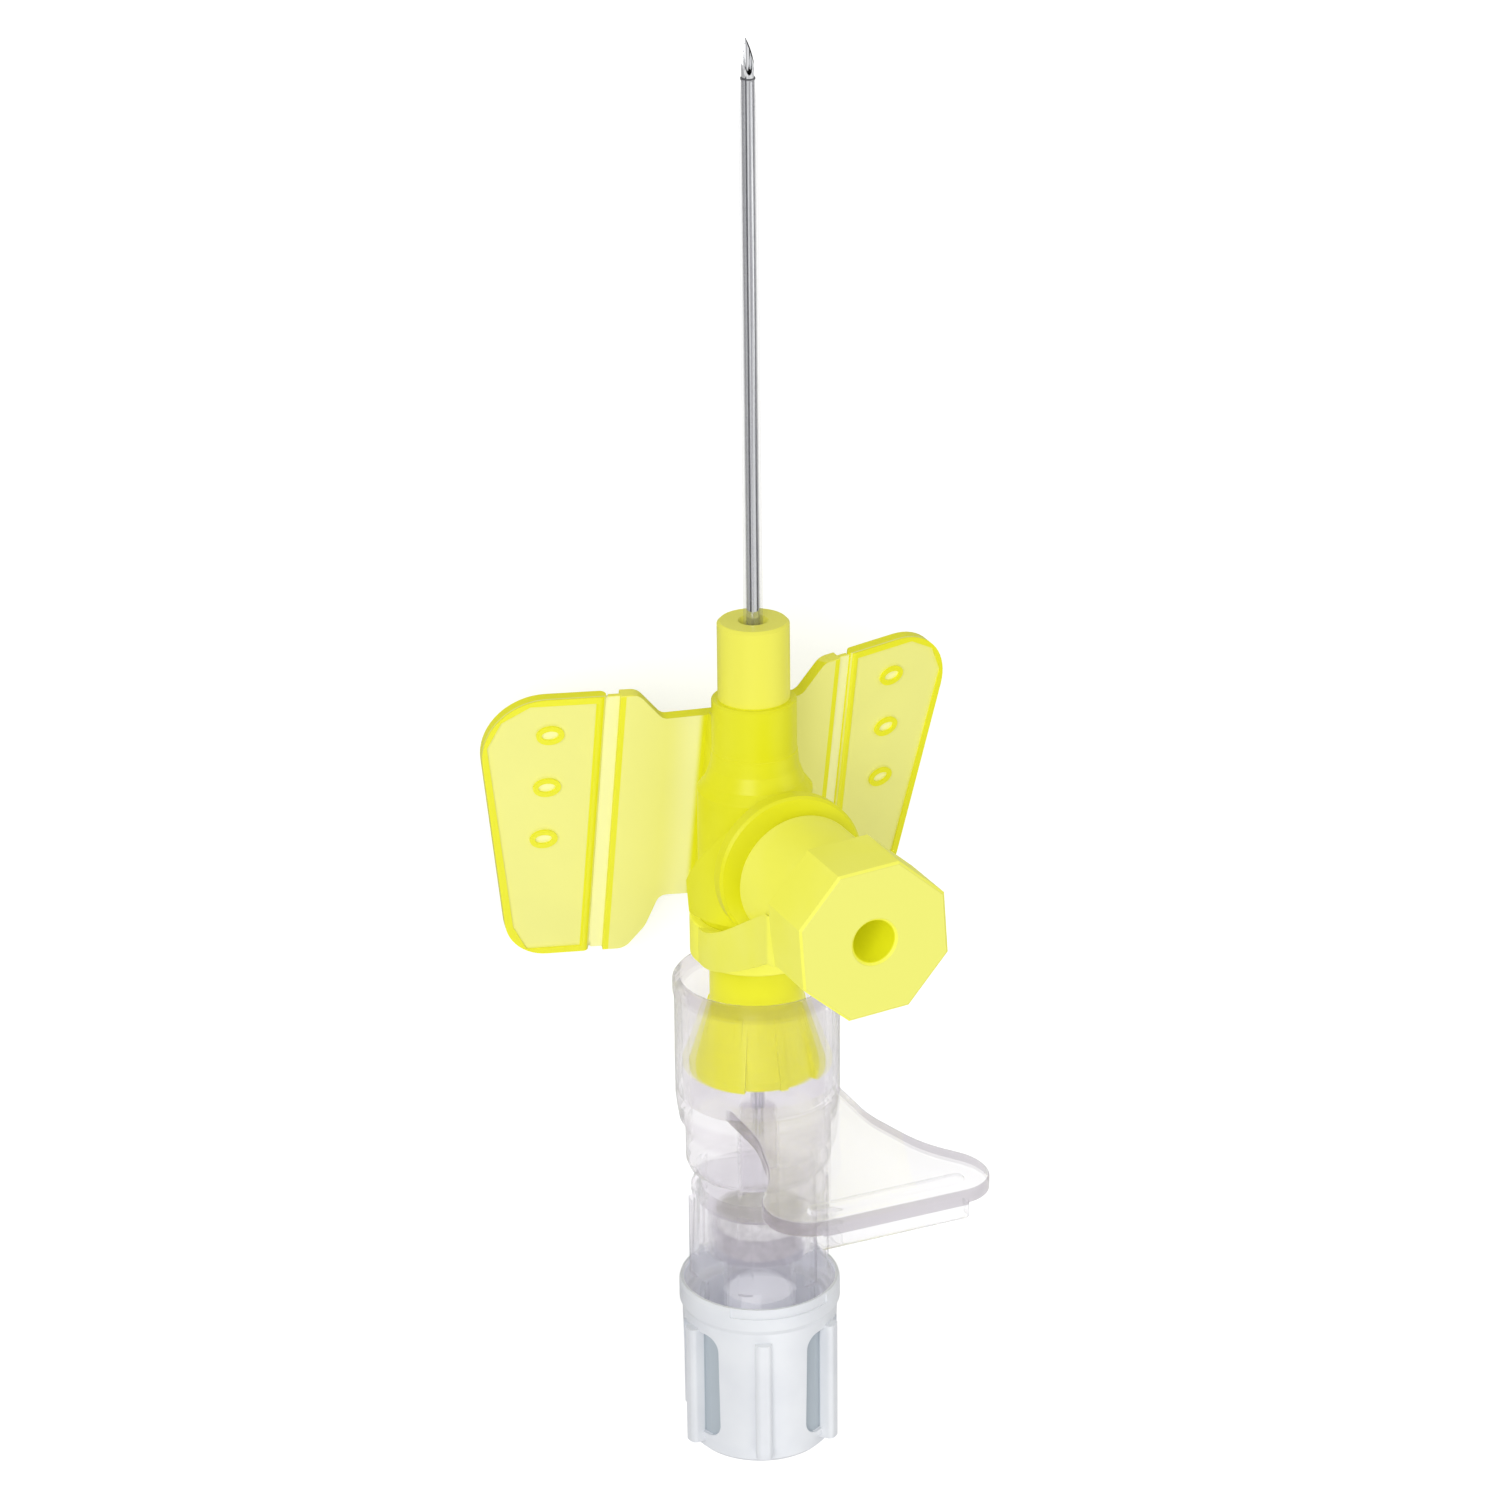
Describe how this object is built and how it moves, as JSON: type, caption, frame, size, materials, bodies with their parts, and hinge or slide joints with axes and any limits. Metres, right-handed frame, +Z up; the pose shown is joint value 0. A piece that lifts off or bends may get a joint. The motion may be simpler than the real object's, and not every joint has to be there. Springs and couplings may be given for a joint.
{
  "type": "iv cannula",
  "caption": "Ported venous cannula: catheter on a winged hub with a capped port, slid over a steel needle with thumb plate, flash chamber and lock stopper.",
  "frame": {"origin": "on the table, under the middle of the box around the whole as it lies on its back", "axes": "+Y along the needle to its point, which rises 6.47 degrees from the table, +Z up, the way the injection port faces, X across the wings"},
  "size_m": [0.0286, 0.084, 0.0254],
  "materials": {
    "stopper_white": "translucent white moulding",
    "clear_chamber": "clear moulding, polished",
    "vent_white": "porous white plug",
    "clear_hub": "clear moulding with a faint violet tint",
    "needle_steel": "drawn stainless steel, polished",
    "catheter_clear": "translucent fluoropolymer tube",
    "ferrule_steel": "pressed steel",
    "hub_yellow": "translucent yellow moulding",
    "valve_silicone": "clear elastic sleeve",
    "wing_right_yellow": "thin translucent yellow plate",
    "wing_left_yellow": "thin translucent yellow plate",
    "cap_yellow": "yellow moulding, satin",
    "strap_yellow": "yellow moulding, soft"
  },
  "bodies": {
    "needle_unit": {"needle_hub": "clear_hub", "introducer_needle": "needle_steel", "flash_chamber": "clear_chamber", "vent_plug": "vent_white"},
    "stopper": {"end_stopper": "stopper_white"},
    "catheter_unit": {"catheter_hub": "hub_yellow", "catheter_tube": "catheter_clear", "ferrule": "ferrule_steel", "port_valve": "valve_silicone", "cap_strap": "strap_yellow"},
    "right_wing_panel": {"wing_right": "wing_right_yellow"},
    "left_wing_panel": {"wing_left": "wing_left_yellow"},
    "cap": {"port_cap": "cap_yellow"}
  },
  "joints": [
    {"name": "stopper_pull", "type": "slide", "parent": "needle_unit", "child": "stopper", "axis": [0, -0.9936, -0.1127], "range_m": [0, 0.012]},
    {"name": "catheter_advance", "type": "slide", "parent": "needle_unit", "child": "catheter_unit", "axis": [0, 0.9936, 0.1127], "range_m": [0, 0.062]},
    {"name": "right_wing_fold", "type": "hinge", "parent": "catheter_unit", "child": "right_wing_panel", "pos_m": [0.0078, -0.00284, 0.00357], "axis": [0, -0.948, -0.3182], "range_deg": [-20, 95]},
    {"name": "left_wing_fold", "type": "hinge", "parent": "catheter_unit", "child": "left_wing_panel", "pos_m": [-0.0078, -0.00284, 0.00357], "axis": [0, 0.948, 0.3182], "range_deg": [-20, 95]},
    {"name": "port_cap_pull", "type": "slide", "parent": "catheter_unit", "child": "cap", "axis": [0, -0.1127, 0.9936], "range_m": [0, 0.007]}
  ]
}
